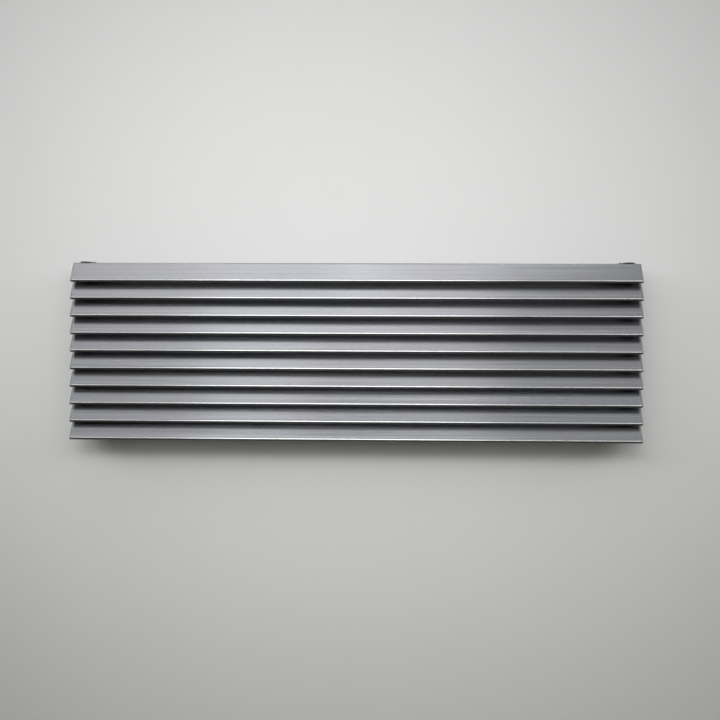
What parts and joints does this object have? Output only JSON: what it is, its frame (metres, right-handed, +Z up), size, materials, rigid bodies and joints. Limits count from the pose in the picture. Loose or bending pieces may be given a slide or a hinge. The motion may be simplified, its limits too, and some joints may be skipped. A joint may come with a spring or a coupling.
{
  "type": "designer radiator",
  "caption": "Wall-hung hot-water radiator of tilted flat-oval blades on two square collectors, hung by studs in notched wall brackets, with a bleed vent and lower pipe sockets.",
  "frame": {"origin": "on the wall plane, in the middle of the four main screw slots, at the blades' mid-height", "axes": "+X along the blades to the right as seen from the room, +Y into the wall, +Z up"},
  "size_m": [1.2, 0.09, 0.3794],
  "materials": {
    "brushed_steel": "fine brushing along each part's length, clear of lacquer",
    "welded_steel": "pickled stainless steel beside the welds",
    "bracket_steel": "cut and bent stainless sheet, darkened",
    "dark_plated": "black nickel plating on brass",
    "zinc_steel": "plain stainless fasteners",
    "brass": "turned brass",
    "black_plastic": "moulded, fine matt",
    "nylon": "black nylon",
    "rubber": "moulded sealing rubber"
  },
  "bodies": {
    "wall_brackets": {"upper_left_bracket": "bracket_steel", "upper_left_bracket_liner": "nylon", "upper_right_bracket": "bracket_steel", "upper_right_bracket_liner": "nylon", "lower_left_bracket": "bracket_steel", "lower_left_bracket_liner": "nylon", "lower_right_bracket": "bracket_steel", "lower_right_bracket_liner": "nylon"},
    "radiator": {"blade_01": "brushed_steel", "blade_01_end_caps": "brushed_steel", "blade_01_stubs": "welded_steel", "blade_02": "brushed_steel", "blade_02_end_caps": "brushed_steel", "blade_02_stubs": "welded_steel", "blade_03": "brushed_steel", "blade_03_end_caps": "brushed_steel", "blade_03_stubs": "welded_steel", "blade_04": "brushed_steel", "blade_04_end_caps": "brushed_steel", "blade_04_stubs": "welded_steel", "blade_05": "brushed_steel", "blade_05_end_caps": "brushed_steel", "blade_05_stubs": "welded_steel", "blade_06": "brushed_steel", "blade_06_end_caps": "brushed_steel", "blade_06_stubs": "welded_steel", "blade_07": "brushed_steel", "blade_07_end_caps": "brushed_steel", "blade_07_stubs": "welded_steel", "blade_08": "brushed_steel", "blade_08_end_caps": "brushed_steel", "blade_08_stubs": "welded_steel", "blade_09": "brushed_steel", "blade_09_end_caps": "brushed_steel", "blade_09_stubs": "welded_steel", "blade_10": "brushed_steel", "blade_10_end_caps": "brushed_steel", "blade_10_stubs": "welded_steel", "left_collector": "brushed_steel", "left_top_socket": "welded_steel", "left_bottom_socket": "welded_steel", "right_collector": "brushed_steel", "right_top_socket": "welded_steel", "right_bottom_socket": "welded_steel", "blanking_plug": "dark_plated", "blanking_plug_gasket": "rubber", "vent_body": "dark_plated", "vent_gasket": "rubber", "hanging_studs": "welded_steel", "retaining_washers": "zinc_steel", "retaining_screws": "zinc_steel"},
    "vent_nozzle": {"vent_nozzle_ring": "black_plastic"},
    "vent_seal": {"vent_seal": "rubber"},
    "vent_needle": {"vent_needle": "brass"}
  },
  "joints": [
    {"name": "lift_off", "type": "slide", "parent": "wall_brackets", "child": "radiator", "axis": [0, 0, 1], "range_m": [0, 0.03]},
    {"name": "nozzle_turn", "type": "hinge", "parent": "radiator", "child": "vent_nozzle", "pos_m": [-0.58, -0.045, 0.19], "axis": [0, 0, 1], "continuous": true},
    {"name": "needle_climb", "type": "slide", "parent": "radiator", "child": "vent_seal", "axis": [0, 0, 1], "range_m": [0, 0.0015]},
    {"name": "needle_turn", "type": "hinge", "parent": "vent_seal", "child": "vent_needle", "pos_m": [-0.58, -0.045, 0.19], "axis": [0, 0, 1], "range_deg": [0, 540]}
  ],
  "couplings": [
    {"joint": "needle_climb", "follows": "needle_turn", "m_per_rad": 0.00015915}
  ]
}
